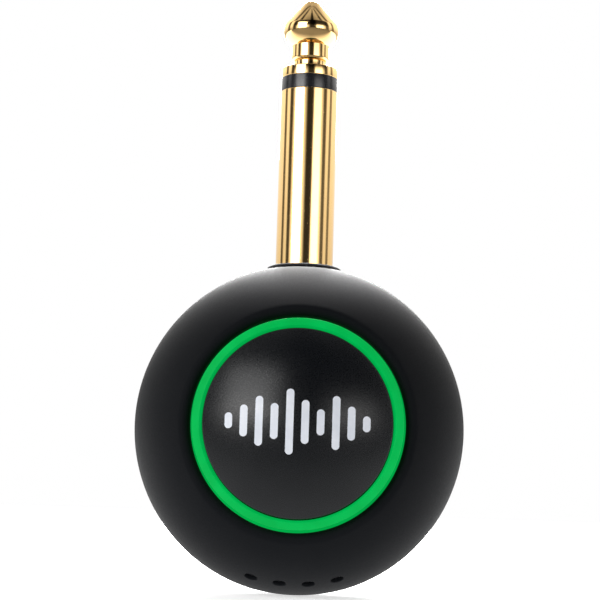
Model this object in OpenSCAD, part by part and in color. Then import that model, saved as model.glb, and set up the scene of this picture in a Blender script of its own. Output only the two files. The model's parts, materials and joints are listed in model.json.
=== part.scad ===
// Wireless guitar transmitter: a ball with a 6.35 mm mono plug, a round button and a lit ring.
// The plug's axis is the Z axis and its tip points up. The origin is the flat shoulder that the
// guitar's jack socket stops against. The button and its ring face -Y, and +X is to the right.

/* [Ball] */
// Outside diameter of the ball-shaped housing
ball_d = 36; // [35.8:0.1:37]
// Wall thickness of the two housing shells
wall = 1.6; // [1.5:0.05:1.7]
// Rounding of the shell's edge around the light ring
lip_round = 0.7; // [0.4:0.1:0.8]

/* [Button and ring] */
// Diameter of the shell's opening for the light ring
opening_d = 22.3; // [22.2:0.1:22.6]
// Outside diameter of the light ring
ring_outer_d = 21.66; // [21.6:0.02:21.9]
// Inside diameter of the light ring, which guides the button
ring_inner_d = 19.7; // [19.6:0.02:19.8]
// Height of the ring's outer edge in front of the ball's centre
ring_front = 14.2; // [14:0.1:14.5]
// Diameter of the button cap
cap_d = 19.5; // [19.2:0.02:19.52]
// Height of the cap's middle in front of the ball's centre
cap_front = 17.8; // [17.4:0.1:18.2]
// Travel of the button
travel = 0.5; // [0.3:0.05:0.6]

/* [Plug] */
// Diameter of the plug's sleeve
plug_d = 6.35; // [6.3:0.01:6.38]
// Length of the sleeve above the shoulder
sleeve_len = 19.7; // [19:0.1:20]
// Length of the whole plug above the shoulder
plug_len = 30.35; // [30:0.05:31]
// Diameter of the black collar around the plug's root
collar_d = 8.5; // [8.2:0.1:8.6]

/* [Charging port and battery lights] */
// Width of the charging port's opening
port_w = 9.2; // [9.1:0.05:9.6]
// Height of the charging port's opening
port_h = 3.4; // [3.36:0.02:3.5]
// Diameter of each battery light's hole
light_hole_d = 1.4; // [1.2:0.1:1.5]
// Angle between one battery light and the next, around the front axis
light_step = 10.6; // [10:0.2:12]

/* [Hidden] */

$fn = 96;
eps = 0.01;

// Colours
shell_black = [0.13, 0.13, 0.13];
cap_black = [0.1, 0.1, 0.11];
gold = [0.83, 0.66, 0.32];
lit_green = [0, 0.78, 0.35];
steel = [0.72, 0.72, 0.72];
tin = [0.8, 0.8, 0.78];
chip_black = [0.08, 0.08, 0.09];
board_green = [0.05, 0.32, 0.16];

// Ball
ball_r = ball_d / 2;
inside_r = ball_r - wall;
opening_r = opening_d / 2;
lip_x = opening_r + lip_round;
lip_z = sqrt(pow(ball_r - lip_round, 2) - pow(lip_x, 2));
seat_z = 11.2;              // the ring's flange seats against the shell here
seat_r = 12.6;
tongue_r = 17.1;            // the front shell's tongue, inside the rear shell's rebate
tongue_depth = 1.3;
joint_gap = 0.1;
snap_angles = [15, 165, 215, 325];
snap_w = 3;
snap_reach = 0.25;          // how far each snap bead stands out of the tongue
snap_bottom = -0.9;
snap_top = -0.5;

// Ring
ring_r = ring_outer_d / 2;
ring_in_r = ring_inner_d / 2;
ring_guide_r = 10.2;        // the wider bore under the step that keeps the cap in
ring_rise = 0.55;           // how far the ring's inner edge stands above its outer edge
ring_flange_r = 12;
ring_flange_h = 1;
ring_foot_w = 2;
step_z = 12.2;

// Cap
cap_r = cap_d / 2;
cap_wall = 1.2;
cap_round = 0.35;
cap_edge = ring_front + ring_rise;
cap_rise = cap_front - cap_edge;
dome_r = (pow(cap_r, 2) + pow(cap_rise, 2)) / (2 * cap_rise);
dome_z = cap_front - dome_r;
flange_r = 10.05;
flange_h = 0.9;
flange_z = step_z - 0.1 - flange_h;
stem_r = 1.6;
key_w = 1.2;
key_out = 0.35;

// Board
board_r = 15.3;
board_t = 1.2;
board_back = 1.63;          // the charging port's body sits on the board's back, centred in the ball
board_front = board_back + board_t;
notch_w = 10.8;             // the board's notch for the plug's tail
notch_y = 5;
boss_gap_w = 16;            // the wider gap for the shells' boss round the collar
boss_gap_y = 12.4;
post_angles = [45, 135, 225, 315];
post_at = 13.7;
post_r = 1.6;
screw_r = 0.8;
radio_x = -5.5;             // the middle of the radio chip and its shield
radio_y = -1.5;

// Switch
switch_w = 6;
switch_h = 1.8;
well_r = 2.4;
well_floor = board_front + 0.6;
dome_gap = 0.65;
plunger_top = 7.3;
plunger_r = 1.7;
plunger_flange_r = 2.1;
cover_t = 0.2;

// Lights
led_h = 0.7;
ring_led_at = (ring_guide_r + ring_r) / 2;
ring_led_angles = [150:40:390];
ring_foot_angles = [10, 170, 250, 290];
ring_bottom = 3.9;
light_tilt = 66.8;          // from the front axis to a battery light's hole
pipe_r = light_hole_d / 2 - 0.05;
pipe_in = 13.2;
pipe_recess = 0.45;
pipe_foot_at = pipe_in * sin(light_tilt);
pipe_foot_z = pipe_in * cos(light_tilt);

// Plug
plug_r = plug_d / 2;
collar_r = collar_d / 2;
collar_flange_r = 6;
collar_flange_z = -3;
collar_bottom = -4.2;
tail_r = 2.9;               // the sleeve's tail, through the collar
taper = plug_r - tail_r;    // height of the cone between the tail and the sleeve
boss_r = 7.6;
boss_bottom = -5.4;
boss_bore_r = 4.8;
tag_t = 0.4;
tag_bottom = collar_bottom - tag_t;
nut_across = 7;
nut_bottom = tag_bottom - 2;
tail_bottom = nut_bottom - 0.6;
sleeve_bore_r = 2.5;
tube_bottom = tail_bottom - 1;
rod_r = 1.3;
rod_bottom = tube_bottom - 1.5;
rod_top = 23.5;
slip = 0.02;                // clearance between the plug's nested pieces

// Plug's head
band_len = 1.57;
head_r = 3.14;
head_z = sleeve_len + band_len;
head_collar_len = 1.09;
groove_r = 1.8;
groove_len = 0.75;
neck_r = 2.1;
neck_round = 0.55;
neck_top = 25;
bead_at = 1.109;            // the centre of the bead's rounding, out from the axis
bead_z = 26.75;
bead_round = 2.011;
crease_z = 27.35;
crease_r = bead_at + sqrt(pow(bead_round, 2) - pow(crease_z - bead_z, 2));
tip_round = 1.2;
tip_z = plug_len - tip_round;
tip_reach = sqrt(pow(crease_r, 2) + pow(tip_z - crease_z, 2));
cone_angle = atan2(crease_r, tip_z - crease_z) - asin(tip_round / tip_reach);
tip_edge_r = tip_round * cos(cone_angle);
tip_edge_z = tip_z + tip_round * sin(cone_angle);

// Charging port
usb_w = 8.94;
usb_h = 3.26;
usb_skin = 0.3;
usb_mouth = -ball_d + 0.9;
usb_len = 7.3;
usb_back = usb_mouth + usb_len;
usb_floor = 0.5;
tongue_w = 6.69;
tongue_t = 0.7;

// Battery
battery_size = 17;
battery_t = 7;
battery_front = 3.5;        // behind the ball's centre
foam_w = 12;
foam_t = 1;
wire_r = 0.45;
wire_sides = 12;
tip_wire_x = -3.2;
ground_wire_x = -7.2;

// Turns what is drawn with +Z to the front, +Y up and the ball's centre at 0 into place.
module on_front() {
    translate([0, 0, -ball_r]) rotate([90, 0, 0]) children();
}

module tube(outer, inner, bottom, top) {
    translate([0, 0, bottom]) difference() {
        cylinder(h = top - bottom, r = outer);
        translate([0, 0, -1]) cylinder(h = top - bottom + 2, r = inner);
    }
}

module rod_between(radius, bottom, top) {
    translate([0, 0, bottom]) cylinder(h = top - bottom, r = radius);
}

module box(width, height, bottom, top) {
    translate([-width / 2, -height / 2, bottom]) cube([width, height, top - bottom]);
}

// A slot with round ends, drawn flat.
module slot_shape(width, height) {
    square([width - height, height], center = true);
    for (side = [-1, 1]) translate([side * (width - height) / 2, 0]) circle(height / 2);
}

module rounded_plate(width, height, corner, thickness) {
    linear_extrude(thickness) {
        square([width - 2 * corner, height], center = true);
        square([width, height - 2 * corner], center = true);
        for (x = [-1, 1], y = [-1, 1])
            translate([x * (width / 2 - corner), y * (height / 2 - corner)]) circle(corner);
    }
}

// A round wire along a list of points, with mitred corners. Its rings are turned about the X axis
// or away from it, so the first run mustn't lie along X.
function unit(v) = v / norm(v);
function wire_heading(points, i) =
    i == 0 ? unit(points[1] - points[0]) :
    i == len(points) - 1 ? unit(points[i] - points[i - 1]) :
    unit(unit(points[i + 1] - points[i]) + unit(points[i] - points[i - 1]));
function wire_stretch(points, i) =
    i == 0 || i == len(points) - 1 ? 1 :
    1 / (wire_heading(points, i) * unit(points[i] - points[i - 1]));
function wire_ring(points, i) = [for (side = [0:wire_sides - 1])
    let (
        along = wire_heading(points, i),
        across = unit(cross(along, [1, 0, 0])),
        up = cross(across, along),
        turn = 360 * side / wire_sides)
    points[i] + wire_r * (across * cos(turn) + up * sin(turn)) * wire_stretch(points, i)];
module wire(points) {
    last = (len(points) - 1) * wire_sides;
    polyhedron(
        [for (i = [0:len(points) - 1]) each wire_ring(points, i)],
        concat(
            [[for (side = [0:wire_sides - 1]) side]],
            [for (ring = [0:len(points) - 2], side = [0:wire_sides - 1])
                let (a = ring * wire_sides + side, b = ring * wire_sides + (side + 1) % wire_sides)
                each [[a, a + wire_sides, b + wire_sides], [a, b + wire_sides, b]]],
            [[for (side = [wire_sides - 1:-1:0]) last + side]]));
}

module half_space(side) {
    translate([-ball_d, -ball_d, side > 0 ? 0 : -ball_d]) cube([2 * ball_d, 2 * ball_d, ball_d]);
}

// The front shell's wall as a lathe outline: the ball's wall with a rounded edge and a seat inside.
module front_outline() {
    difference() {
        intersection() {
            difference() {
                circle(ball_r);
                circle(inside_r);
            }
            translate([opening_r, 0]) square(ball_d);
        }
        polygon([[lip_x, lip_z], [0, lip_z], [0, ball_r + 2],
            [lip_x, lip_z] * (ball_r + 2) / (ball_r - lip_round)]);
    }
    translate([lip_x, lip_z]) circle(lip_round);
    translate([opening_r, seat_z]) square([seat_r - opening_r, lip_z - seat_z]);
}

// The tongue that joins the shells, left out at the plug and at the charging port.
module tongue(outer, inner, depth) {
    difference() {
        tube(outer, inner, -depth, 0);
        translate([0, ball_r, 0]) cube([2 * boss_r + 1, 16, 2 * depth + 1], center = true);
        translate([0, -ball_r, 0]) cube([port_w + 3, 6, 2 * depth + 1], center = true);
    }
}

module snap_beads(width, reach, bottom, top) {
    for (turn = snap_angles)
        rotate(turn) translate([tongue_r - 0.2, -width / 2, bottom])
            cube([reach + 0.2, width, top - bottom]);
}

module plug_boss() {
    intersection() {
        translate([0, 0, -ball_r]) sphere(ball_r - 0.5);
        rod_between(boss_r, boss_bottom, 0);
    }
}

module plug_seat() {
    rod_between(collar_r + 0.05, collar_flange_z - eps, 1);
    rod_between(collar_flange_r + 0.05, collar_bottom, collar_flange_z);
    rod_between(boss_bore_r, boss_bottom - 1, collar_bottom + eps);
}

module port_opening() {
    translate([0, 0, -ball_d - 1]) linear_extrude(wall + 3) slot_shape(port_w, port_h);
}

module at_battery_lights() {
    for (i = [-1.5:1.5]) rotate(-90 + i * light_step) children();
}

module board_posts() {
    intersection() {
        sphere(ball_r - 0.8);
        for (turn = post_angles)
            rotate(turn) translate([post_at, 0, 0]) rod_between(post_r, board_front, ball_r);
    }
}

module front_shell() {
    color(shell_black) difference() {
        union() {
            on_front() {
                rotate_extrude() front_outline();
                tongue(tongue_r, inside_r - 0.05, tongue_depth);
                snap_beads(snap_w, snap_reach, snap_bottom, snap_top);
                board_posts();
            }
            intersection() {
                plug_boss();
                on_front() half_space(1);
            }
        }
        plug_seat();
        port_opening();
        on_front() {
            at_battery_lights() rotate([0, light_tilt, 0])
                rod_between(light_hole_d / 2, inside_r - 2, ball_r + 1);
            for (turn = post_angles) rotate(turn) translate([post_at, 0, 0])
                rod_between(screw_r + slip, board_front - 1, board_front + 4);
        }
    }
}

// Four ribs inside the rear shell, one along each side of the battery.
module battery_ribs() {
    rib_t = 1;
    rib_at = (battery_size + rib_t) / 2 + 0.15;
    rib_front = -battery_front - 1.5;
    intersection() {
        sphere(inside_r + 0.3);
        for (side = [-1, 1]) {
            translate([side * rib_at, 0, 0]) box(rib_t, 8, -ball_r, rib_front);
            translate([-2, side * rib_at, 0]) box(7, rib_t, -ball_r, rib_front);
        }
    }
}

module rear_shell() {
    color(shell_black) difference() {
        union() {
            on_front() {
                intersection() {
                    difference() {
                        sphere(ball_r);
                        sphere(inside_r);
                    }
                    half_space(-1);
                }
                battery_ribs();
            }
            intersection() {
                plug_boss();
                on_front() half_space(-1);
            }
        }
        plug_seat();
        port_opening();
        on_front() {
            tongue(tongue_r + joint_gap, inside_r - 1, tongue_depth + joint_gap);
            snap_beads(snap_w + 2 * joint_gap, snap_reach + joint_gap, snap_bottom - joint_gap,
                snap_top + joint_gap);
        }
    }
}

// The ring is a tube that carries light from the board, with a flange held under the shell's seat.
module light_ring() {
    color(lit_green) on_front() {
        difference() {
            rotate_extrude() polygon([[ring_guide_r, ring_bottom], [ring_r, ring_bottom],
                [ring_r, seat_z - ring_flange_h], [ring_flange_r, seat_z - ring_flange_h],
                [ring_flange_r, seat_z], [ring_r, seat_z], [ring_r, ring_front],
                [ring_in_r, ring_front + ring_rise], [ring_in_r, step_z], [ring_guide_r, step_z]]);
            for (side = [0, 180]) rotate(side)
                translate([ring_guide_r - 0.5, -key_w / 2 - 0.1, ring_bottom - 1])
                    cube([key_out + 0.4, key_w + 0.2, step_z - ring_bottom + 1]);
        }
        intersection() {
            tube(ring_r, ring_guide_r, board_front, ring_bottom);
            for (turn = ring_foot_angles) rotate(turn)
                translate([0, -ring_foot_w / 2, 0]) cube([ring_r + 1, ring_foot_w, ring_bottom]);
        }
    }
}

// A domed disc as a lathe outline, with a rounded edge.
module dome_outline(radius, bottom, dome, rounding) {
    edge_x = radius - rounding;
    edge_z = dome_z + sqrt(pow(dome - rounding, 2) - pow(edge_x, 2));
    corner = [edge_x, edge_z - dome_z] * (dome + 1) / (dome - rounding);
    difference() {
        intersection() {
            translate([0, dome_z]) circle(dome);
            translate([0, bottom]) square([radius, ball_r]);
        }
        polygon([[edge_x, edge_z], [radius + 1, edge_z], [radius + 1, dome_z + corner.y],
            [corner.x, dome_z + corner.y]]);
    }
    translate([edge_x, edge_z]) circle(rounding);
}

module button_cap() {
    color(cap_black) on_front() {
        difference() {
            union() {
                rotate_extrude() dome_outline(cap_r, flange_z, dome_r, cap_round);
                rod_between(flange_r, flange_z, flange_z + flange_h);
                for (side = [0, 180]) rotate(side)
                    translate([cap_r - 1, -key_w / 2, flange_z])
                        cube([flange_r + key_out - cap_r + 0.85, key_w, flange_h]);
            }
            rotate_extrude() dome_outline(cap_r - cap_wall, flange_z - 1, dome_r - cap_wall, cap_round);
        }
        rod_between(stem_r, plunger_top + slip, cap_front - cap_wall);
        intersection() {
            rotate_extrude()
                dome_outline(cap_r - cap_wall / 2, flange_z + 2, dome_r - cap_wall / 2, cap_round);
            for (turn = [45, 135]) rotate(turn) box(2 * cap_r, 0.9, flange_z + 2.2, cap_front);
        }
    }
}

// The collar's face is countersunk for the cone under the plug's sleeve.
module plug_collar() {
    edge = 0.12;
    color(shell_black) rotate_extrude() polygon([[tail_r + slip, -taper], [plug_r + slip, 0],
        [collar_r - edge, 0], [collar_r, -edge], [collar_r, collar_flange_z],
        [collar_flange_r, collar_flange_z], [collar_flange_r, collar_bottom],
        [tail_r + slip, collar_bottom]]);
}

module plug_sleeve() {
    color(gold) rotate_extrude() polygon([[sleeve_bore_r, sleeve_len], [plug_r, sleeve_len],
        [plug_r, 0], [tail_r, -taper], [tail_r, tail_bottom], [sleeve_bore_r, tail_bottom]]);
}

module plug_insulator() {
    color(chip_black) tube(head_r, rod_r + slip, sleeve_len, head_z);
}

module plug_tip() {
    groove_z = head_z + head_collar_len;
    neck_z = groove_z + groove_len;
    color(gold) difference() {
        union() {
            rod_between(head_r, head_z, groove_z);
            rod_between(groove_r, groove_z - eps, neck_z + neck_round);
            rod_between(neck_r, neck_z + neck_round, bead_z);
            rotate_extrude() {
                intersection() {
                    translate([neck_r - neck_round, neck_z + neck_round]) circle(neck_round);
                    translate([neck_r - neck_round, neck_z]) square(neck_round);
                }
                intersection() {
                    translate([bead_at, bead_z]) circle(bead_round);
                    translate([0, neck_top]) square([plug_r, crease_z - neck_top]);
                }
                polygon([[0, bead_z], [bead_at, bead_z], [crease_r, crease_z], [tip_edge_r, tip_edge_z],
                    [0, tip_edge_z]]);
                intersection() {
                    translate([0, tip_z]) circle(tip_round);
                    translate([0, tip_z]) square(2 * tip_round);
                }
            }
        }
        rod_between(rod_r + slip, head_z - 1, rod_top + slip);
    }
}

module plug_inner_tube() {
    color("whitesmoke") tube(sleeve_bore_r - slip, rod_r + slip, tube_bottom, sleeve_len);
}

module plug_rod() {
    color(gold) rod_between(rod_r, rod_bottom, rod_top);
}

module plug_nut() {
    color(steel) difference() {
        translate([0, 0, nut_bottom])
            cylinder(h = tag_bottom - nut_bottom, d = nut_across / cos(30), $fn = 6);
        rod_between(tail_r + slip, nut_bottom - 1, tag_bottom + 1);
    }
}

// A washer under the collar, with a tab bent down for the ground wire.
module ground_tag() {
    washer_r = 3.8;
    tab_x = -4.6;
    tab_w = 2;
    tab_len = 3.8;
    hole_r = 0.4;
    color(tin) difference() {
        union() {
            rod_between(washer_r, tag_bottom, collar_bottom);
            translate([tab_x, -tab_w / 2, tag_bottom]) cube([2, tab_w, tag_t]);
            translate([tab_x, -tab_w / 2, collar_bottom - tab_len]) cube([tag_t, tab_w, tab_len]);
        }
        rod_between(tail_r + slip, tag_bottom - 1, collar_bottom + 1);
        translate([tab_x - 1, 0, collar_bottom - tab_len + 2 * hole_r]) rotate([0, 90, 0])
            cylinder(h = 2, r = hole_r);
    }
}

// A washer on the plug's rod, with a tab for the signal wire.
module tip_tag() {
    bottom = tube_bottom - 1;
    tab_w = 1.6;
    color(tin) difference() {
        union() {
            rod_between(2.2, bottom, bottom + tag_t);
            translate([-4, -tab_w / 2, bottom]) cube([3, tab_w, tag_t]);
        }
        rod_between(rod_r + slip, rod_bottom, tube_bottom);
        translate([tip_wire_x, 0, rod_bottom]) cylinder(h = 3, r = wire_r);
    }
}

module main_board() {
    color(board_green) on_front() difference() {
        rod_between(board_r, board_back, board_front);
        translate([-notch_w / 2, notch_y, board_back - 1]) cube([notch_w, board_r, board_t + 2]);
        translate([-boss_gap_w / 2, boss_gap_y, board_back - 1])
            cube([boss_gap_w, board_r, board_t + 2]);
        for (turn = post_angles)
            rotate(turn) translate([post_at, 0, 0]) rod_between(screw_r + 0.1, 0, board_front + 1);
    }
}

module switch_base() {
    color(chip_black) on_front() difference() {
        translate([0, 0, board_front]) rounded_plate(switch_w, switch_w, 0.5, switch_h);
        rod_between(well_r, well_floor, ball_r);
    }
}

// The switch's snap dome: a thin steel shell that buckles when the button is pressed.
module switch_dome() {
    rise = dome_gap - slip;
    span = well_r - 0.15;
    curve = (pow(span, 2) + pow(rise, 2)) / (2 * rise);
    color(steel) on_front() translate([0, 0, well_floor]) rotate_extrude() intersection() {
        difference() {
            translate([0, rise - curve]) circle(curve);
            translate([0, rise - curve]) circle(curve - 0.1);
        }
        square([well_r, 1]);
    }
}

module switch_plunger() {
    flange_bottom = well_floor + dome_gap;
    color("black") on_front() {
        rod_between(plunger_flange_r, flange_bottom, board_front + switch_h - slip);
        rod_between(plunger_r, flange_bottom, plunger_top);
    }
}

module switch_cover() {
    top = board_front + switch_h;
    color(steel) on_front() {
        difference() {
            box(switch_w + 2 * cover_t, switch_w, top, top + cover_t);
            rod_between(plunger_r + 0.1, top - 1, top + 1);
        }
        for (side = [-1, 1]) translate([side * (switch_w + cover_t) / 2, 0, 0])
            box(cover_t, 4, board_front + 0.2, top);
    }
}

module ring_leds() {
    color("ivory") on_front() for (turn = ring_led_angles)
        rotate(turn) translate([ring_led_at, 0, 0]) box(0.7, 1.6, board_front, board_front + led_h);
}

module battery_leds() {
    color("ivory") on_front() at_battery_lights() translate([pipe_foot_at, 0, 0])
        box(0.8, 1.4, board_front, board_front + led_h);
}

// Four light pipes on one bar, from the lights on the board to the holes in the front shell.
module light_pipes() {
    color([0.25, 0.25, 0.27]) on_front() {
        at_battery_lights() {
            rotate([0, light_tilt, 0]) rod_between(pipe_r, pipe_in, ball_r - pipe_recess);
            translate([pipe_foot_at, 0, 0]) rod_between(pipe_r, ring_bottom, pipe_foot_z);
            translate([pipe_foot_at, 0, pipe_foot_z]) sphere(pipe_r);
        }
        intersection() {
            tube(pipe_foot_at + 0.5, pipe_foot_at - 0.5, ring_bottom + 0.2, ring_bottom + 1);
            translate([-4, -ball_r, 0]) cube([8, ball_r, ball_r]);
        }
    }
}

module usb_shell() {
    color(steel) difference() {
        union() {
            translate([0, 0, usb_mouth]) linear_extrude(usb_len) slot_shape(usb_w, usb_h);
            for (side = [-1, 1]) translate([side * 4.4, 0.1 - board_back, 0])
                box(2, 0.2, usb_back - 4, usb_back - 1);
        }
        translate([0, 0, usb_mouth - 1]) linear_extrude(usb_len + 1 - usb_floor)
            slot_shape(usb_w - 2 * usb_skin, usb_h - 2 * usb_skin);
    }
}

module usb_tongue() {
    block = usb_back - usb_floor;
    color("black") {
        translate([0, 0, block - 1]) linear_extrude(1)
            slot_shape(usb_w - 2 * usb_skin - slip, usb_h - 2 * usb_skin - slip);
        box(tongue_w, tongue_t, usb_mouth + 0.9, block - 1 + eps);
    }
}

// A flat part on the board's back, given by its middle, its size and its height.
module on_board_back(x, y, width, height, thickness) {
    on_front() translate([x, y, 0]) box(width, height, board_back - thickness, board_back);
}

module radio_chip() {
    color(chip_black) on_board_back(radio_x, radio_y, 5, 5, 0.8);
}

module radio_shield() {
    width = 9;
    height = 1.6;
    skin = 0.2;
    color(tin) difference() {
        on_board_back(radio_x, radio_y, width, width, height);
        on_front() translate([radio_x, radio_y, 0])
            box(width - 2 * skin, width - 2 * skin, board_back - height + skin, board_back + 1);
    }
}

module audio_chip() {
    color(chip_black) on_board_back(4.5, 0.5, 5, 5, 0.9);
}

module charge_chip() {
    color(chip_black) on_board_back(4, -5.5, 3, 3, 0.9);
}

module crystal() {
    color(tin) on_board_back(10.4, 1.5, 2, 2.5, 0.8);
}

module antenna() {
    color("ivory") on_board_back(-12.2, -1, 1.6, 7, 1.2);
}

// A column of capacitors by the sound chip and a row of them under the radio chip.
module chip_capacitors() {
    long = 1;
    short = 0.5;
    color([0.62, 0.5, 0.38]) {
        for (i = [-3:3]) on_board_back(8.6, i * 1.4 - 3.5, long, short, short);
        for (i = [-2:2]) on_board_back(i * 1.6 - 4, -7.6, short, long, short);
    }
}

module battery() {
    color([0.75, 0.76, 0.78]) on_front() translate([0, 0, -battery_front - battery_t])
        rounded_plate(battery_size, battery_size, 1.5, battery_t);
}

module battery_foam() {
    color([0.2, 0.2, 0.22]) on_front()
        box(foam_w, foam_w, -battery_front - battery_t - foam_t, -battery_front - battery_t);
}

module battery_connector() {
    color("ivory") on_front() translate([9.1, 6, 0]) box(4.2, 3, board_back - 3.4, board_back);
}

module battery_wire(x, reach) {
    rise = -ball_r + battery_size / 2;
    wire([[x, 6.5, rise], [x, 6.5, rise + 1.2], [reach, 0.5, rise + 1.2], [reach, 0.5, -10.5]]);
}

module battery_wire_red() {
    color([0.75, 0.08, 0.06]) battery_wire(6.2, 8.2);
}

module battery_wire_black() {
    color([0.06, 0.06, 0.06]) battery_wire(7.7, 9.9);
}

module tip_wire() {
    board_z = -14.2;
    color([0.85, 0.85, 0.85]) wire([[tip_wire_x, 0, tube_bottom - 1], [tip_wire_x, 0.2, board_z + 1.2],
        [tip_wire_x, 0.2, board_z], [tip_wire_x, -board_back, board_z]]);
}

module ground_wire() {
    board_z = -12.2;
    color([0.06, 0.06, 0.06]) wire([[-4.4, 0, -8], [-4.7, 0, -8.8], [ground_wire_x, 0.3, board_z],
        [ground_wire_x, -board_back, board_z]]);
}

// Four screws that hold the board to the posts, each with a cross recess.
module board_screws() {
    head_r = 1.3;
    head_t = 0.8;
    recess_depth = 0.45;
    screw_end = board_front + 3.6;
    color(steel) on_front() for (turn = post_angles) rotate(turn) translate([post_at, 0, 0])
        difference() {
            union() {
                rod_between(head_r, board_back - head_t, board_back);
                rod_between(screw_r, board_back, screw_end);
            }
            for (cross = [0, 90]) rotate(cross)
                box(1.5, 0.3, board_back - 1, board_back - head_t + recess_depth);
        }
}

front_shell();
rear_shell();
light_ring();
button_cap();
plug_collar();
plug_sleeve();
plug_insulator();
plug_tip();
plug_inner_tube();
plug_rod();
plug_nut();
ground_tag();
tip_tag();
main_board();
switch_base();
switch_dome();
switch_plunger();
switch_cover();
ring_leds();
battery_leds();
light_pipes();
usb_shell();
usb_tongue();
radio_shield();
radio_chip();
audio_chip();
charge_chip();
crystal();
antenna();
chip_capacitors();
battery();
battery_foam();
battery_connector();
battery_wire_red();
battery_wire_black();
tip_wire();
ground_wire();
board_screws();
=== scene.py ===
import json
import math

import bmesh
import bpy
from mathutils import Matrix, Vector


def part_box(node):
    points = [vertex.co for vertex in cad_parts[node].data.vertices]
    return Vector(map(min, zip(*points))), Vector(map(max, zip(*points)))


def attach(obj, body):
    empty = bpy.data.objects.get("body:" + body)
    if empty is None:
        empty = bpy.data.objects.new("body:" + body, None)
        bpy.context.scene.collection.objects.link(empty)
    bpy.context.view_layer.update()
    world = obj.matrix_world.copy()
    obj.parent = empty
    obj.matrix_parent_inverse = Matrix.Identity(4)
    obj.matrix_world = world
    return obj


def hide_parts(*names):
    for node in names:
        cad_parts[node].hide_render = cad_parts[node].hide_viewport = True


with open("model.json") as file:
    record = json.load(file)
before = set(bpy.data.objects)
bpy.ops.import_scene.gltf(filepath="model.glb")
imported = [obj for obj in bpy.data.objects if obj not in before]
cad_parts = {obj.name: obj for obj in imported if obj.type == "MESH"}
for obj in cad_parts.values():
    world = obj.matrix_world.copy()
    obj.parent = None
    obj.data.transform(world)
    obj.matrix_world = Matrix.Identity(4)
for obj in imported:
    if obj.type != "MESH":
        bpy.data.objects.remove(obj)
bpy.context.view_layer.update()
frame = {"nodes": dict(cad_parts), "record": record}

# Wireless guitar transmitter. Lengths are in millimetres up to the point where a mesh is made.
# A "front" outline or point has its height along the button's axis (-Y) from the ball's centre;
# any other lathe outline has its height along the plug's axis (+Z) from the collar's shoulder.
MM = 0.001
HOUSING = "housing"
BUTTON = "button"


def box_mm(node):
    low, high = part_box(node)
    return [v / MM for v in low], [v / MM for v in high]


# Sizes read from the frame
BALL_R = box_mm("rear_shell")[1][0]
COLLAR_TOP = box_mm("plug_collar")[1][2]
SLEEVE_TOP = box_mm("plug_sleeve")[1][2]
BAND_R = box_mm("plug_insulator")[1][0]
BAND_TOP = box_mm("plug_insulator")[1][2]
PLUG_TOP = box_mm("plug_tip")[1][2]
CAP_FRONT = -box_mm("button_cap")[0][1]
RING_FRONT = -box_mm("light_ring")[0][1]
RING_FLANGE_R = box_mm("light_ring")[1][0]
PLUG_R = next(m for m in frame["record"]["mounts"] if m["name"] == "jack_plug")["dims"]["r_mm"]
PORT_LOW, PORT_HIGH = box_mm("usb_shell")

# Sizes that a box doesn't give, as in the model
WALL = 1.6
OPENING_R = 11.15
LIP_ROUND = 0.7
SEAT_R = 12.6
SEAT_HEIGHT = 11.2
RING_OUTER_R = 10.83
RING_INNER_R = 9.85
RING_GUIDE_R = 10.2
RING_SLOPE = 0.55
RING_STEP = 12.2
RING_BOTTOM = 3.9
RING_FLANGE = 1.0
CAP_R = 9.75
CAP_EDGE = 14.75
CAP_WALL = 1.2
CAP_ROUND = 0.35
CAP_BOTTOM = 11.2
CAP_FLANGE_R = 10.05
CAP_FLANGE = 0.9
COLLAR_R = 4.25
COLLAR_ROUND = 0.75
COLLAR_FLANGE_R = 6.0
COLLAR_FLANGE_TOP = -3.0
COLLAR_BOTTOM = -4.2
TAIL_R = 2.92
TAPER = 0.275
SLIP = 0.02
SLEEVE_BORE_R = 2.5
ROD_R = 1.32
HEAD_COLLAR = 1.09
GROOVE = 0.75
GROOVE_R = 1.8
NECK_R = 2.1
NECK_ROUND = 0.55
NECK_TOP = 25.0
BEAD_OUT = 1.109
BEAD_HEIGHT = 26.75
BEAD_ROUND = 2.011
CREASE_HEIGHT = 27.35
TIP_ROUND = 1.2
LIGHT_HOLE_R = 0.7
LIGHT_TILT = 66.8
LIGHT_STEP = 10.6
PORT_W = 9.2
PORT_H = 3.4
EDGE = 0.1  # rounding of a moulded edge
SEAM = 0.12  # rounding of each shell's edge where the two meet
ROUND_STEPS = 256

FRONT = Matrix.Translation((0, 0, -BALL_R)) @ Matrix.Rotation(math.radians(90), 4, "X")
UPRIGHT = Matrix.Identity(4)


# ---------------------------------------------------------------- outlines
def arc(centre, radius, start, end, count=12):
    """Points of an arc in the (radius, height) plane; angles in degrees from the outward axis."""
    angles = [math.radians(start + (end - start) * i / count) for i in range(count + 1)]
    return [(centre[0] + radius * math.cos(a), centre[1] + radius * math.sin(a)) for a in angles]


def rounded(corners, steps=4):
    """An outline whose corners, given as (radius, height, rounding), are rounded."""
    points = []
    for i, (r, h, rounding) in enumerate(corners):
        here = Vector((r, h))
        if not rounding or i in (0, len(corners) - 1):
            points.append((r, h))
            continue
        before = (Vector(corners[i - 1][:2]) - here).normalized()
        after = (Vector(corners[i + 1][:2]) - here).normalized()
        half = before.angle(after) / 2
        if math.pi / 2 - half < math.radians(1):
            points.append((r, h))
            continue
        centre = here + (before + after).normalized() * rounding / math.sin(half)
        first = here + before * rounding / math.tan(half) - centre
        last = here + after * rounding / math.tan(half) - centre
        for k in range(steps + 1):
            spot = centre + first.lerp(last, k / steps).normalized() * rounding
            points.append((spot.x, spot.y))
    return points


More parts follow.
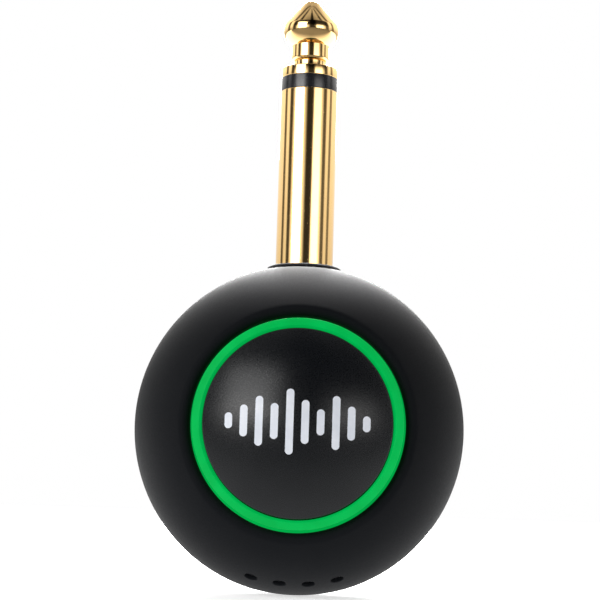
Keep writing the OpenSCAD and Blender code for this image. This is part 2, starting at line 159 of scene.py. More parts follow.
# ---------------------------------------------------------------- meshes
def finish_piece(name, mesh_data, body, nodes=(), weighted=True):
    """Makes an object of bmesh data, shades it, fixes it to its body and hides the CAD nodes it replaces."""
    mesh = bpy.data.meshes.new(name)
    mesh_data.to_mesh(mesh)
    mesh_data.free()
    mesh.shade_smooth()
    mesh.set_sharp_from_angle(angle=math.radians(35))
    piece = bpy.data.objects.new(name, mesh)
    bpy.context.scene.collection.objects.link(piece)
    if weighted:
        normals = piece.modifiers.new("even_normals", "WEIGHTED_NORMAL")
        normals.keep_sharp = True
    if body:
        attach(piece, body)
    if nodes:
        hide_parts(*nodes)
    return piece


def lathe(outline, place=UPRIGHT, closed=True, steps=ROUND_STEPS):
    """Spins an outline of (radius, height) points; a point on the axis makes a pole."""
    data = bmesh.new()
    rings = []
    for r, h in outline:
        if r < 1e-6:
            rings.append([data.verts.new(place @ Vector((0, 0, h)))])
            continue
        turns = [2 * math.pi * i / steps for i in range(steps)]
        rings.append([data.verts.new(place @ Vector((r * math.cos(t), r * math.sin(t), h))) for t in turns])
    pairs = list(zip(rings, rings[1:]))
    if closed:
        pairs.append((rings[-1], rings[0]))
    for low, high in pairs:
        for i in range(steps):
            j = (i + 1) % steps
            corners = [low[i % len(low)], low[j % len(low)], high[j % len(high)], high[i % len(high)]]
            corners = list(dict.fromkeys(corners))
            if len(corners) > 2:
                data.faces.new(corners)
    data.transform(Matrix.Scale(MM, 4))
    bmesh.ops.recalc_face_normals(data, faces=data.faces)
    return data


def loft(loops, capped=True):
    """Skins a row of loops that have the same number of points."""
    data = bmesh.new()
    rows = [[data.verts.new(Vector(p) * MM) for p in loop] for loop in loops]
    for low, high in zip(rows, rows[1:]):
        for i in range(len(low)):
            j = (i + 1) % len(low)
            data.faces.new([low[i], low[j], high[j], high[i]])
    if capped:
        data.faces.new(rows[0])
        data.faces.new(rows[-1])
    bmesh.ops.recalc_face_normals(data, faces=data.faces)
    return data


def slot_loop(width, height, count=24):
    """A flat loop round a slot with round ends, anticlockwise."""
    radius = height / 2
    reach = (width - height) / 2
    loop = []
    for side, start in ((1, -90), (-1, 90)):
        for i in range(count + 1):
            turn = math.radians(start + 180 * i / count)
            loop.append((side * reach + radius * math.cos(turn), radius * math.sin(turn)))
    return loop


def cut(data, cutters):
    """The bmesh data less each cutter, with exact booleans."""
    scratch = []

    def hold(piece_data):
        mesh = bpy.data.meshes.new("scratch")
        piece_data.to_mesh(mesh)
        piece_data.free()
        piece = bpy.data.objects.new("scratch", mesh)
        bpy.context.scene.collection.objects.link(piece)
        scratch.append(piece)
        return piece

    target = hold(data)
    for cutter in cutters:
        step = target.modifiers.new("cut", "BOOLEAN")
        step.operation = "DIFFERENCE"
        step.solver = "EXACT"
        step.object = hold(cutter)
    result = bpy.data.meshes.new_from_object(target.evaluated_get(bpy.context.evaluated_depsgraph_get()))
    out = bmesh.new()
    out.from_mesh(result)
    bpy.data.meshes.remove(result)
    for piece in scratch:
        mesh = piece.data
        bpy.data.objects.remove(piece)
        bpy.data.meshes.remove(mesh)
    return out


def light_places():
    """The direction of each battery light's hole, as a turn of the front axis."""
    for i in range(4):
        turn = Matrix.Rotation(math.radians(-90 + (i - 1.5) * LIGHT_STEP), 4, "Z")
        yield FRONT @ turn @ Matrix.Rotation(math.radians(LIGHT_TILT), 4, "Y")


def flared_hole(radius, flare, depth, surface, place, steps=48):
    """A cutter for a round hole whose rim is rounded outwards."""
    rim = [(radius + flare * (1 - math.cos(a)), surface - flare + flare * math.sin(a))
           for a in (math.pi / 2 * i / 5 for i in range(6))]
    outline = [(0, surface - depth), (radius, surface - depth)] + rim
    outline += [(radius + flare, surface + 1), (0, surface + 1)]
    return lathe(outline, place, closed=False, steps=steps)


def port_cutter():
    """A cutter for the charging port's opening, with a rounded rim that follows the ball."""
    flare = 0.2
    loops = [[(x, y, PORT_HIGH[2] + 1) for x, y in slot_loop(PORT_W, PORT_H)]]
    for i in range(6):
        angle = math.pi / 2 * i / 5
        out = 2 * flare * (1 - math.cos(angle))
        lift = flare * (1 - math.sin(angle))
        loop = slot_loop(PORT_W + out, PORT_H + out)
        loops.append([(x, y, -BALL_R - math.sqrt(BALL_R ** 2 - x * x - y * y) + lift) for x, y in loop])
    loops.append([(x, y, -2 * BALL_R - 1) for x, y, _ in loops[-1]])
    return loft(loops)


def shell_cutters():
    """The cutters for the collar's hole and the charging port's opening."""
    gap, flare, depth = 0.04, 0.12, 3
    rim = BALL_R - 0.5  # where the collar comes through the ball, above its centre
    middle = Matrix.Translation((0, 0, -BALL_R))
    return [flared_hole(COLLAR_R + gap, flare, depth, rim, middle, steps=96), port_cutter()]


# ---------------------------------------------------------------- the housing
def make_front_shell():
    """The front half of the ball, with a rounded lip round the ring and a seat for its flange."""
    inner = BALL_R - WALL
    lip = Vector((OPENING_R + LIP_ROUND, 0))
    lip.y = math.sqrt((BALL_R - LIP_ROUND) ** 2 - lip.x ** 2)
    lip_angle = math.degrees(math.atan2(lip.y, lip.x))
    seam_angle = math.degrees(SEAM / BALL_R)
    seat_angle = math.degrees(math.acos(SEAT_R / inner))
    outline = arc((BALL_R - SEAM, SEAM), SEAM, -90, 0, 4)[:-1]
    outline += arc((0, 0), BALL_R, seam_angle, lip_angle, 72)[:-1]
    outline += arc(lip, LIP_ROUND, lip_angle, 180, 14)
    outline += [(OPENING_R, SEAT_HEIGHT), (SEAT_R, SEAT_HEIGHT)]
    outline.append((SEAT_R, inner * math.sin(math.radians(seat_angle))))
    outline += arc((0, 0), inner, seat_angle, 0, 36)[1:]
    holes = [flared_hole(LIGHT_HOLE_R, EDGE, 3, BALL_R - 0.02, place) for place in light_places()]
    data = cut(lathe(outline, FRONT), shell_cutters() + holes)
    return finish_piece("housing_front", data, HOUSING, ["front_shell"])


def make_rear_shell():
    """The plain rear half of the ball."""
    inner = BALL_R - WALL
    seam_angle = math.degrees(SEAM / BALL_R)
    outline = arc((BALL_R - SEAM, -SEAM), SEAM, 90, 0, 4)[:-1]
    outline += arc((0, 0), BALL_R, -seam_angle, -90, 96)
    outline += arc((0, 0), inner, -90, 0, 48)
    data = cut(lathe(outline, FRONT), shell_cutters())
    return finish_piece("housing_rear", data, HOUSING, ["rear_shell"])


def make_light_ring():
    """The ring round the button: a flanged tube whose face rises inwards."""
    flange_low = SEAT_HEIGHT - RING_FLANGE
    corners = [(RING_GUIDE_R, RING_BOTTOM, 0), (RING_OUTER_R, RING_BOTTOM, EDGE),
               (RING_OUTER_R, flange_low, 0), (RING_FLANGE_R, flange_low, EDGE),
               (RING_FLANGE_R, SEAT_HEIGHT, EDGE), (RING_OUTER_R, SEAT_HEIGHT, 0),
               (RING_OUTER_R, RING_FRONT - RING_SLOPE, 0.16), (RING_INNER_R + 0.22, RING_FRONT - 0.05, 0.08),
               (RING_INNER_R, RING_FRONT - 0.3, 0.08), (RING_INNER_R, RING_STEP, EDGE),
               (RING_GUIDE_R, RING_STEP, 0), (RING_GUIDE_R, RING_STEP - 1, 0)]
    data = lathe(rounded(corners), FRONT)
    return finish_piece("button_surround_ring", data, HOUSING, ["light_ring"])


# ---------------------------------------------------------------- the button
def cap_dome():
    """The radius and the centre's height of the cap's domed front."""
    rise = CAP_FRONT - CAP_EDGE
    radius = (CAP_R ** 2 + rise ** 2) / (2 * rise)
    return radius, CAP_FRONT - radius


def make_cap():
    """The button's domed cap with its rounded edge and the flange that keeps it in."""
    radius, centre = cap_dome()
    edge = Vector((CAP_R - CAP_ROUND, 0))
    edge.y = centre + math.sqrt((radius - CAP_ROUND) ** 2 - edge.x ** 2)
    tilt = math.degrees(math.atan2(edge.y - centre, edge.x))
    inner = radius - CAP_WALL
    inner_r = CAP_R - CAP_WALL
    inner_tilt = math.degrees(math.acos(inner_r / inner))
    flange_top = CAP_BOTTOM + CAP_FLANGE
    outline = [(inner_r, CAP_BOTTOM), (CAP_FLANGE_R, CAP_BOTTOM), (CAP_FLANGE_R, flange_top),
               (CAP_R, flange_top)]
    outline += arc(edge, CAP_ROUND, 0, tilt, 10)[:-1]
    outline += arc((0, centre), radius, tilt, 90, 90)[:-1]
    outline.append((0, CAP_FRONT))
    outline += [(0, centre + inner)]
    outline += arc((0, centre), inner, 90, inner_tilt, 30)[1:]
    return finish_piece("button_cap_dome", lathe(outline, FRONT), BUTTON, ["button_cap"])


def make_mark():
    """A plain row of level bars, printed on the cap as a thin layer."""
    radius, centre = cap_dome()
    layer = 0.02
    pitch = 1.55
    bar_w = 0.78
    heights = [1.6, 3.2, 5.0, 3.6, 6.6, 4.4, 2.6, 5.4, 3.4, 1.6]
    rows, columns = 28, 6
    data = bmesh.new()
    for i, height in enumerate(heights):
        middle = (i - (len(heights) - 1) / 2) * pitch
        grid = []
        for row in range(rows + 1):
            turn = math.pi * row / rows
            end = math.cos(turn) * bar_w / 2
            y = end + (height - bar_w) / 2 * (1 if end > 0 else -1 if end < 0 else 0)
            half = math.sin(turn) * bar_w / 2
            line = []
            for column in range(columns + 1):
                x = middle + half * (2 * column / columns - 1)
                up = centre + math.sqrt((radius + layer) ** 2 - x * x - y * y)
                line.append(data.verts.new(FRONT @ Vector((x, y, up))))
            grid.append(line)
        for low, high in zip(grid, grid[1:]):
            for a in range(columns):
                data.faces.new([low[a], low[a + 1], high[a + 1], high[a]])
    long_edges = [edge for edge in data.edges if edge.calc_length() > 0.5]
    bmesh.ops.subdivide_edges(data, edges=long_edges, cuts=8, use_grid_fill=True)
    for vert in data.verts:
        spot = FRONT.inverted() @ vert.co
        flat = spot.x ** 2 + spot.y ** 2
        vert.co = FRONT @ Vector((spot.x, spot.y, centre + math.sqrt((radius + layer) ** 2 - flat)))
    bmesh.ops.remove_doubles(data, verts=data.verts, dist=1e-5)
    data.transform(Matrix.Scale(MM, 4))
    bmesh.ops.recalc_face_normals(data, faces=data.faces)
    return finish_piece("cap_level_mark", data, BUTTON, weighted=False)


# ---------------------------------------------------------------- the plug
def make_collar():
    """The black collar at the plug's root, countersunk for the cone under the sleeve."""
    corners = [(TAIL_R, COLLAR_BOTTOM, 0), (TAIL_R, COLLAR_TOP - TAPER, 0),
               (PLUG_R + SLIP, COLLAR_TOP, 0.03), (COLLAR_R, COLLAR_TOP, COLLAR_ROUND),
               (COLLAR_R, COLLAR_FLANGE_TOP, 0), (COLLAR_FLANGE_R, COLLAR_FLANGE_TOP, EDGE),
               (COLLAR_FLANGE_R, COLLAR_BOTTOM, EDGE), (TAIL_R, COLLAR_BOTTOM, 0)]
    data = lathe(rounded(corners)[:-1])
    return finish_piece("plug_root_collar", data, HOUSING, ["plug_collar"])


def make_sleeve():
    """The plug's gold sleeve, with the cone and the thinner tail under it."""
    tail_bottom = box_mm("plug_sleeve")[0][2]
    corners = [(SLEEVE_BORE_R, tail_bottom, 0), (TAIL_R - SLIP, tail_bottom, EDGE),
               (TAIL_R - SLIP, COLLAR_TOP - TAPER, 0), (PLUG_R, COLLAR_TOP, 0.03),
               (PLUG_R, SLEEVE_TOP, 0.05), (SLEEVE_BORE_R, SLEEVE_TOP, 0)]
    return finish_piece("plug_sleeve_gold", lathe(rounded(corners)), HOUSING, ["plug_sleeve"])


def make_band():
    """The black insulating band between the sleeve and the head."""
    corners = [(ROD_R, SLEEVE_TOP, 0), (BAND_R, SLEEVE_TOP, 0.03), (BAND_R, BAND_TOP, 0.03),
               (ROD_R, BAND_TOP, 0)]
    return finish_piece("plug_band", lathe(rounded(corners)), HOUSING, ["plug_insulator"])


def make_head():
    """The plug's head: collar, groove, neck, bead and cone."""
    groove_low = BAND_TOP + HEAD_COLLAR
    neck_low = groove_low + GROOVE
    crease_r = BEAD_OUT + math.sqrt(BEAD_ROUND ** 2 - (CREASE_HEIGHT - BEAD_HEIGHT) ** 2)
    tip_height = PLUG_TOP - TIP_ROUND
    reach = math.hypot(crease_r, tip_height - CREASE_HEIGHT)
    cone = math.atan2(crease_r, tip_height - CREASE_HEIGHT) - math.asin(TIP_ROUND / reach)
    crease_turn = math.degrees(math.asin((CREASE_HEIGHT - BEAD_HEIGHT) / BEAD_ROUND))
    neck_turn = math.degrees(math.asin((NECK_TOP - BEAD_HEIGHT) / BEAD_ROUND))
    corners = [(0, BAND_TOP, 0), (BAND_R, BAND_TOP, 0.04), (BAND_R, groove_low, 0.1),
               (GROOVE_R, groove_low, 0.12), (GROOVE_R, neck_low, 0)]
    outline = rounded(corners)
    start = math.degrees(math.acos((GROOVE_R - NECK_R + NECK_ROUND) / NECK_ROUND))
    outline += arc((NECK_R - NECK_ROUND, neck_low + NECK_ROUND), NECK_ROUND, -start, 0, 10)
    outline.append((NECK_R, NECK_TOP - 0.1))
    outline += arc((BEAD_OUT, BEAD_HEIGHT), BEAD_ROUND, neck_turn, crease_turn, 28)
    outline += arc((0, tip_height), TIP_ROUND, math.degrees(cone), 90, 16)[:-1]
    outline.append((0, PLUG_TOP))
    return finish_piece("plug_head", lathe(outline, closed=False), HOUSING, ["plug_tip"])


# ---------------------------------------------------------------- the charging port
def make_port():
    """The drawn steel shell of the charging port, with a rolled mouth."""
    height = PORT_HIGH[1] * 2
    width = 8.94
    skin = 0.3
    floor_t = 0.5
    mouth, back = PORT_LOW[2], PORT_HIGH[2]
    levels = [(0, back), (0, mouth + 0.15), (0.04, mouth + 0.05), (0.15, mouth), (0.26, mouth + 0.05),
              (skin, mouth + 0.15), (skin, back - floor_t)]
    loops = [[(x, y, z) for x, y in slot_loop(width - 2 * inset, height - 2 * inset)]
             for inset, z in levels]
    return finish_piece("port_shell", loft(loops), HOUSING, ["usb_shell"])


def make_port_contacts():
    """Gilt contact strips on both faces of the port's tongue."""
    data = bmesh.new()
    strips = 12
    strip_w, strip_t, strip_l = 0.26, 0.03, 3.6
    pitch = 0.5
    tongue_half = 0.35
    low_end = PORT_LOW[2] + 1.3
    for i in range(strips):
        x = (i - (strips - 1) / 2) * pitch
        for side in (-1, 1):
            y = side * (tongue_half + strip_t / 2)
            made = bmesh.ops.create_cube(data, size=1)["verts"]
            bmesh.ops.scale(data, verts=made, vec=(strip_w, strip_t, strip_l))
            bmesh.ops.translate(data, verts=made, vec=(x, y, low_end + strip_l / 2))
    bmesh.ops.bevel(data, geom=data.edges[:], offset=0.008, segments=1, affect="EDGES")
    data.transform(Matrix.Scale(MM, 4))
    return finish_piece("port_contacts", data, HOUSING)


front_shell = make_front_shell()
rear_shell = make_rear_shell()
light_ring = make_light_ring()
cap = make_cap()
mark = make_mark()
collar = make_collar()
sleeve = make_sleeve()
band = make_band()
head = make_head()
port = make_port()
contacts = make_port_contacts()


# ---------------------------------------------------------------- materials
def node(tree, kind, inputs=None, **settings):
    """A new shader node; an input may be a plain value or another node's output."""
    made = tree.nodes.new(kind)
    for key, value in settings.items():
        setattr(made, key, value)
    for key, value in (inputs or {}).items():
        if isinstance(value, bpy.types.NodeSocket):
            tree.links.new(value, made.inputs[key])
        else:
            made.inputs[key].default_value = value
    return made


def new_material(name, inputs):
    """A new material with the given inputs set on its main shader."""
    material = bpy.data.materials.new(name)
    material.use_nodes = True
    tree = material.node_tree
    shader = tree.nodes["Principled BSDF"]
    for key, value in inputs.items():
        shader.inputs[key].default_value = value
    return material, tree, shader


def grain(tree, size_mm, detail=3.0, stretch=(1, 1, 1), roughness=0.55):
    """Noise whose spots are about size_mm across, as a 0 to 1 value."""
    coords = node(tree, "ShaderNodeTexCoord").outputs["Object"]
    mapped = node(tree, "ShaderNodeMapping", {"Vector": coords, "Scale": stretch}).outputs["Vector"]
    scale = 1 / (size_mm * MM)
    noise = node(tree, "ShaderNodeTexNoise", {"Vector": mapped, "Scale": scale, "Detail": detail,
                                              "Roughness": roughness})
    return noise.outputs["Fac"]


def ranged(tree, value, low, high, from_low=0.3, from_high=0.7):
    """The value spread from its own range to low and high, and kept between them."""
    spread = node(tree, "ShaderNodeMapRange", {"Value": value, "From Min": from_low, "From Max": from_high,
                                               "To Min": low, "To Max": high}, clamp=True)
    return spread.outputs["Result"]


def mixed(tree, value, first, second):
    """The first colour where the value is 0, the second where it is 1."""
    mix = node(tree, "ShaderNodeMix", data_type="RGBA")
    tree.links.new(value, mix.inputs["Factor"])
    mix.inputs["A"].default_value = (*first, 1)
    mix.inputs["B"].default_value = (*second, 1)
    return mix.outputs["Result"]


def bumped(tree, value, depth_mm, strength=1.0, under=None):
    """A surface raised by the value, on top of another bump if one is given."""
    bump = node(tree, "ShaderNodeBump", {"Height": value, "Distance": depth_mm * MM, "Strength": strength})
    if under:
        tree.links.new(under, bump.inputs["Normal"])
    return bump.outputs["Normal"]


def soft_touch():
    """Rubbery black paint on the housing: a fine even grain, a little dust and a pale sheen."""
    material, tree, shader = new_material("soft_touch_black", {
        "Specular IOR Level": 0.045, "Sheen Weight": 0.015, "Sheen Roughness": 0.4,
        "Sheen Tint": (1, 0.93, 0.86, 1)})
    patches = grain(tree, 4.0, 2)
    fine = grain(tree, 0.16, 3)
    dust = grain(tree, 0.35, 1)
    colour = mixed(tree, ranged(tree, patches, 0, 1), (0.0052, 0.0060, 0.0075), (0.0061, 0.0069, 0.0084))
    tree.links.new(colour, shader.inputs["Base Color"])
    tree.links.new(ranged(tree, fine, 0.6, 0.72), shader.inputs["Roughness"])
    normal = bumped(tree, fine, 0.012, 0.6)
    normal = bumped(tree, ranged(tree, dust, 0, 1, 0.68, 0.8), 0.008, 0.3, normal)
    tree.links.new(normal, shader.inputs["Normal"])
    return material


def cap_plastic():
    """Satin black plastic with the speckled texture of a spark-eroded mould."""
    material, tree, shader = new_material("textured_cap_black", {"Specular IOR Level": 0.35})
    speckle = grain(tree, 0.16, 2, roughness=0.6)
    broad = grain(tree, 2.5, 2)
    colour = mixed(tree, ranged(tree, broad, 0, 1), (0.0030, 0.0038, 0.0052), (0.0042, 0.0050, 0.0066))
    tree.links.new(colour, shader.inputs["Base Color"])
    tree.links.new(ranged(tree, speckle, 0.24, 0.34), shader.inputs["Roughness"])
    tree.links.new(bumped(tree, speckle, 0.02, 0.55), shader.inputs["Normal"])
    return material


def painted_glow_ring():
    """Green ring with a painted glow: an even emission keeps it evenly bright, over a slightly cloudy body
    under a satin skin.
    """
    material, tree, shader = new_material("painted_glow_green", {
        "Roughness": 0.4, "Specular IOR Level": 0.05, "Emission Strength": 1.0})
    cloud = grain(tree, 3.0, 3)
    fine = grain(tree, 0.2, 2)
    tree.links.new(mixed(tree, ranged(tree, cloud, 0, 1), (0.0, 0.12, 0.02), (0.0, 0.15, 0.03)),
                   shader.inputs["Base Color"])
    # painted glow: this emission colour keeps the ring evenly bright whatever the light
    tree.links.new(mixed(tree, ranged(tree, cloud, 0, 1), (0.0, 0.33, 0.055), (0.0, 0.38, 0.065)),
                   shader.inputs["Emission Color"])
    tree.links.new(bumped(tree, fine, 0.004, 0.3), shader.inputs["Normal"])
    return material


def gold_plate():
    """Bright gold plating over turned brass: faint turning lines and small pits."""
    material, tree, shader = new_material("gold_plate", {"Metallic": 1.0})
    turned = grain(tree, 0.25, 2, stretch=(0.02, 0.02, 1))
    worn = grain(tree, 1.4, 4)
    pits = grain(tree, 0.16, 1)
    tree.links.new(mixed(tree, ranged(tree, worn, 0, 1), (0.94, 0.62, 0.26), (0.95, 0.64, 0.28)),
                   shader.inputs["Base Color"])
    tree.links.new(ranged(tree, worn, 0.085, 0.11), shader.inputs["Roughness"])
    normal = bumped(tree, turned, 0.0006, 0.4)
    normal = bumped(tree, ranged(tree, pits, 0, 1, 0.72, 0.8), 0.004, 0.6, normal)
    tree.links.new(normal, shader.inputs["Normal"])
    return material


def plain_plastic(name, dark, light, roughness, grain_mm=0.2, depth_mm=0.01):
    """Plastic or paint that drifts between two close colours, with a fine grain."""
    material, tree, shader = new_material(name, {"Specular IOR Level": 0.5})
    fine = grain(tree, grain_mm, 2)
    broad = grain(tree, 2.0, 3)
    tree.links.new(mixed(tree, ranged(tree, broad, 0, 1), dark, light), shader.inputs["Base Color"])
    tree.links.new(ranged(tree, fine, roughness - 0.05, roughness + 0.05), shader.inputs["Roughness"])
    tree.links.new(bumped(tree, fine, depth_mm, 0.4), shader.inputs["Normal"])
    return material


def plain_metal(name, dark, light, roughness, stretch=(1, 1, 1)):
    """Brushed or plated metal that drifts between two close colours."""
    material, tree, shader = new_material(name, {"Metallic": 1.0})
    brushed = grain(tree, 0.15, 3, stretch=stretch)
    broad = grain(tree, 1.5, 3)
    tree.links.new(mixed(tree, ranged(tree, broad, 0, 1), dark, light), shader.inputs["Base Color"])
    tree.links.new(ranged(tree, brushed, roughness - 0.06, roughness + 0.08), shader.inputs["Roughness"])
    tree.links.new(bumped(tree, brushed, 0.004, 0.4), shader.inputs["Normal"])
    return material


def print_ink():
    """Pale bluish-white pad-printing ink, slightly uneven at its finest scale."""
    return plain_plastic("pad_print_white", (0.70, 0.74, 0.82), (0.80, 0.83, 0.90), 0.5, 0.1, 0.004)


SLOT_MATERIALS = {
    "shell_soft_black": soft_touch(),
    "cap_black": cap_plastic(),
    "ring_green": painted_glow_ring(),
    "plug_gold": gold_plate(),
    "insulator_black": plain_plastic("band_black", (0.008, 0.008, 0.01), (0.014, 0.014, 0.017), 0.22,
                                     grain_mm=0.3, depth_mm=0.002),
    "insulator_white": plain_plastic("nylon_white", (0.68, 0.68, 0.64), (0.78, 0.78, 0.75), 0.45),
    "nickel": plain_metal("nickel_plate", (0.50, 0.49, 0.46), (0.62, 0.61, 0.58), 0.25),
    "tinned": plain_metal("tin_plate", (0.52, 0.52, 0.50), (0.66, 0.66, 0.64), 0.36),
    "steel": plain_metal("bright_steel", (0.48, 0.48, 0.48), (0.60, 0.60, 0.60), 0.24, (1, 1, 0.1)),
    "board_green": plain_plastic("solder_mask_green", (0.01, 0.10, 0.04), (0.02, 0.16, 0.07), 0.3, 0.5),
    "chip_black": plain_plastic("epoxy_black", (0.012, 0.012, 0.013), (0.024, 0.024, 0.026), 0.55, 0.1),
    "plunger_black": plain_plastic("plunger_black", (0.012, 0.012, 0.013), (0.02, 0.02, 0.022), 0.4),
    "led_ivory": plain_plastic("moulded_ivory", (0.66, 0.63, 0.50), (0.78, 0.75, 0.62), 0.4),
    "pipe_smoke": plain_plastic("smoked_pipe", (0.004, 0.004, 0.005), (0.007, 0.007, 0.008), 0.3),
    "capacitor_tan": plain_plastic("capacitor_tan", (0.28, 0.18, 0.10), (0.40, 0.28, 0.17), 0.5, 0.1),
    "battery_silver": plain_metal("foil_pouch", (0.42, 0.43, 0.45), (0.58, 0.59, 0.61), 0.34),
    "foam_grey": plain_plastic("closed_foam_grey", (0.03, 0.03, 0.034), (0.07, 0.07, 0.075), 0.85,
                               grain_mm=0.3, depth_mm=0.08),
    "wire_red": plain_plastic("wire_red", (0.42, 0.012, 0.01), (0.56, 0.02, 0.015), 0.42),
    "wire_black": plain_plastic("wire_black", (0.012, 0.012, 0.012), (0.022, 0.022, 0.022), 0.42),
    "wire_white": plain_plastic("wire_white", (0.62, 0.62, 0.60), (0.76, 0.76, 0.74), 0.42),
}


def paint(piece, material):
    """Gives the piece this one material."""
    piece.data.materials.clear()
    piece.data.materials.append(material)


for piece in (front_shell, rear_shell, collar):
    paint(piece, SLOT_MATERIALS["shell_soft_black"])
for piece in (sleeve, head, contacts):
    paint(piece, SLOT_MATERIALS["plug_gold"])
paint(light_ring, SLOT_MATERIALS["ring_green"])
paint(cap, SLOT_MATERIALS["cap_black"])
paint(band, SLOT_MATERIALS["insulator_black"])
paint(port, SLOT_MATERIALS["steel"])
paint(mark, print_ink())
for part in frame["record"]["subparts"]:
    held = frame["nodes"][part["node"]]
    for slot in held.material_slots:
        slot.material = SLOT_MATERIALS[part["material_slot"]]


# ---------------------------------------------------------------- camera, floor and light
# Camera: how far in front of the ball's centre, how far below and right of it, and its turns
CAMERA_AWAY = 196.5
CAMERA_DOWN = 8.7
CAMERA_RIGHT = 2.2
CAMERA_PITCH = 6.68
CAMERA_YAW = 0.74
CAMERA_ROLL = 1.75
CAMERA_LENS = 107.2
CAMERA_SENSOR = 36

# The tent's brightness: behind at the floor, behind higher up, its roof's share of that, and in front;
# and how dark its high front part is
TENT_LOW = 0.5
TENT_BACK = 1.6
TENT_ROOF = 0.35
TENT_FRONT = 1.15
TENT_TOP_DARK = 0.97
# each darker upright part: its middle and half width in degrees round from the camera, and the light left
TENT_SEAMS = ((6, 15, 0.03), (-73, 8, 0.06), (-104, 7, 0.12), (70, 8, 0.12), (101, 7, 0.22))
# the two tall windows in front: middle and half width in degrees, and how much light each adds;
# and the elevation of their middle
TENT_WINDOWS = ((-35, 15, 2.8), (37, 15, 2.4))
WINDOW_HEIGHT = 12
# the floor's own glow as the object sees it, in front of the object and behind it, and as the camera
# sees it; and the floor's colour as the object sees it, a painted shade far darker than the pale floor
FLOOR_FRONT = 0.1
FLOOR_BACK = 2.8
FLOOR_SEEN = 0.6
FLOOR_SHADE = (0.08, 0.08, 0.08)


def add_camera():
    """The camera stands in front of the ball, a little low, and looks slightly up."""
    data = bpy.data.cameras.new("camera")
    data.sensor_width = CAMERA_SENSOR
    data.lens = CAMERA_LENS
    data.clip_start = 0.01
    camera = bpy.data.objects.new("camera", data)
    bpy.context.scene.collection.objects.link(camera)
    place = Matrix.Translation(Vector((CAMERA_RIGHT, -CAMERA_AWAY, -BALL_R - CAMERA_DOWN)) * MM)
    turn = Matrix.Rotation(math.radians(CAMERA_YAW), 4, "Z")
    turn = turn @ Matrix.Rotation(math.radians(90 + CAMERA_PITCH), 4, "X")
    turn = turn @ Matrix.Rotation(math.radians(CAMERA_ROLL), 4, "Z")
    camera.matrix_world = place @ turn
    bpy.context.scene.camera = camera


def add_floor():
    """A wide pale floor under the ball; the object itself sees it dimmer in front than behind."""
    half = 3000
    data = bmesh.new()
    corners = [(-half, -half), (half, -half), (half, half), (-half, half)]
    data.faces.new([data.verts.new(Vector((x, y, -2 * BALL_R)) * MM) for x, y in corners])
    mesh = bpy.data.meshes.new("floor")
    data.to_mesh(mesh)
    data.free()
    floor = bpy.data.objects.new("floor", mesh)
    bpy.context.scene.collection.objects.link(floor)
    material, tree, shader = new_material("pale_floor", {
        "Roughness": 0.9, "Specular IOR Level": 0.1, "Emission Color": (1, 1, 1, 1)})
    place = node(tree, "ShaderNodeTexCoord").outputs["Object"]
    depth = node(tree, "ShaderNodeSeparateXYZ", {"Vector": place}).outputs["Y"]
    seen = node(tree, "ShaderNodeLightPath").outputs["Is Camera Ray"]
    unseen = smooth(tree, depth, -65 * MM, 60 * MM, FLOOR_FRONT, FLOOR_BACK)
    glow = node(tree, "ShaderNodeMix", {"Factor": seen, "A": unseen, "B": FLOOR_SEEN}).outputs["Result"]
    tree.links.new(glow, shader.inputs["Emission Strength"])
    shade = mixed(tree, ranged(tree, grain(tree, 400, 1), 0, 1), (0.88, 0.88, 0.88), (0.9, 0.9, 0.9))
    # painted shade: the object sees the floor dark grey, the camera sees it pale
    dimmed = node(tree, "ShaderNodeMix", data_type="RGBA")
    dimmed.inputs["A"].default_value = (*FLOOR_SHADE, 1)
    tree.links.new(seen, dimmed.inputs["Factor"])
    tree.links.new(shade, dimmed.inputs["B"])
    tree.links.new(dimmed.outputs["Result"], shader.inputs["Base Color"])
    paint(floor, material)


def add_softbox(name, azimuth, elevation, distance, width, height, power, blockers=()):
    """A soft light aimed at the ball; azimuth 0 is towards the camera and grows to the right.
    Where blockers are given, only they cast this light's shadows."""
    data = bpy.data.lights.new(name, "AREA")
    data.shape = "RECTANGLE"
    data.size = width * MM
    data.size_y = height * MM
    data.energy = power
    light = bpy.data.objects.new(name, data)
    bpy.context.scene.collection.objects.link(light)
    a, e = math.radians(azimuth), math.radians(elevation)
    away = Vector((math.sin(a) * math.cos(e), -math.cos(a) * math.cos(e), math.sin(e)))
    light.location = (Vector((0, 0, -BALL_R)) + away * distance) * MM
    light.rotation_euler = away.to_track_quat("Z", "Y").to_euler()
    light.visible_camera = False
    if blockers:
        shading = bpy.data.collections.new(name + "_blockers")
        for piece in blockers:
            shading.objects.link(piece)
        light.light_linking.blocker_collection = shading


def smooth(tree, value, start, end, low, high):
    """A value that goes smoothly from low at start to high at end."""
    made = node(tree, "ShaderNodeMapRange", {"Value": value, "From Min": start, "From Max": end,
                                             "To Min": low, "To Max": high}, interpolation_type="SMOOTHSTEP")
    return made.outputs["Result"]


def maths(tree, operation, *values):
    """The result of one sum, with plain values or other nodes' outputs."""
    made = node(tree, "ShaderNodeMath", dict(enumerate(values)), operation=operation)
    return made.outputs[0]


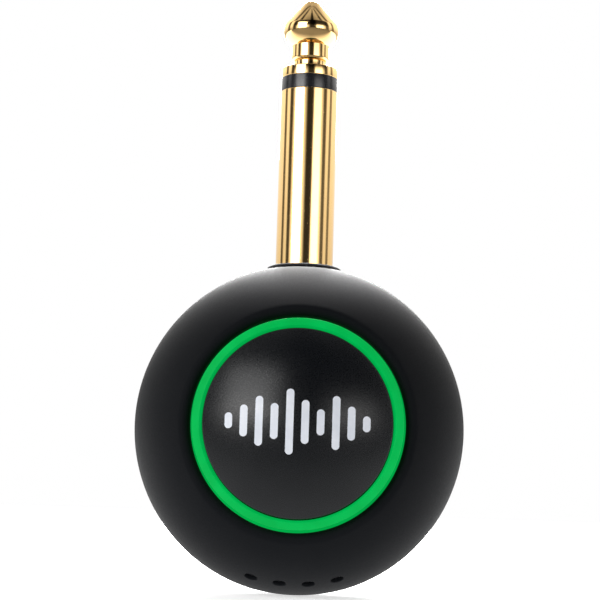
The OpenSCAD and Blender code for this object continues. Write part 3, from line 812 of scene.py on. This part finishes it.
def add_world():
    """A pale tent round the object, with two bright windows in front and darker upright seams, dark
    behind the camera and high in front. The camera itself sees a plain white backdrop."""
    world = bpy.data.worlds.new("studio")
    bpy.context.scene.world = world
    world.use_nodes = True
    tree = world.node_tree
    tree.nodes.clear()
    direction = node(tree, "ShaderNodeTexCoord").outputs["Generated"]
    split = node(tree, "ShaderNodeSeparateXYZ", {"Vector": direction}).outputs
    forward = maths(tree, "MULTIPLY", split["Y"], -1.0)
    turn = maths(tree, "ARCTAN2", split["X"], forward)

    # Behind the object the tent brightens upwards and dims again at its roof; in front it is even
    rise = smooth(tree, split["Z"], 0.0, 0.34, TENT_LOW, TENT_BACK)
    roof = smooth(tree, split["Z"], 0.6, 0.94, 1.0, TENT_ROOF)
    behind = maths(tree, "MULTIPLY", rise, roof)
    front = smooth(tree, forward, -0.1, 0.5, 0.0, 1.0)
    value = node(tree, "ShaderNodeMix", {"Factor": front, "A": behind, "B": TENT_FRONT}).outputs["Result"]

    # The windows add their light, the seams take light away, and the high front part is darkened
    window_middle = math.sin(math.radians(WINDOW_HEIGHT))
    level = maths(tree, "ABSOLUTE", maths(tree, "SUBTRACT", split["Z"], window_middle))
    tall = smooth(tree, level, 0.16, 0.28, 1.0, 0.0)
    for middle, half, added in TENT_WINDOWS:
        away = maths(tree, "ABSOLUTE", maths(tree, "SUBTRACT", turn, math.radians(middle)))
        pane = smooth(tree, away, math.radians(half * 0.8), math.radians(half * 1.3), added, 0.0)
        value = maths(tree, "ADD", value, maths(tree, "MULTIPLY", pane, tall))
    for middle, half, left in TENT_SEAMS:
        away = maths(tree, "ABSOLUTE", maths(tree, "SUBTRACT", turn, math.radians(middle)))
        seam = smooth(tree, away, math.radians(half * 0.6), math.radians(half * 1.4), left, 1.0)
        value = maths(tree, "MULTIPLY", value, seam)
    high = smooth(tree, split["Z"], math.sin(math.radians(9)), math.sin(math.radians(22)), 0.0, 1.0)
    ahead = smooth(tree, forward, 0.0, 0.45, 0.0, TENT_TOP_DARK)
    kept = maths(tree, "SUBTRACT", 1.0, maths(tree, "MULTIPLY", high, ahead))
    value = maths(tree, "MULTIPLY", value, kept)

    tent = node(tree, "ShaderNodeBackground", {"Color": (1, 0.985, 0.965, 1), "Strength": value})
    backdrop = node(tree, "ShaderNodeBackground", {"Color": (1, 1, 1, 1), "Strength": 1.0})
    seen = node(tree, "ShaderNodeLightPath").outputs["Is Camera Ray"]
    mix = node(tree, "ShaderNodeMixShader", {0: seen, 1: tent.outputs[0], 2: backdrop.outputs[0]})
    node(tree, "ShaderNodeOutputWorld", {"Surface": mix.outputs[0]})


add_camera()
add_floor()
add_world()
add_softbox("key_left", azimuth=-38, elevation=22, distance=600, width=390, height=360, power=1.7)
add_softbox("top_back", azimuth=180, elevation=38, distance=700, width=260, height=640, power=20,
            blockers=(front_shell, rear_shell, cap, light_ring))
bpy.context.scene.view_settings.view_transform = "Standard"
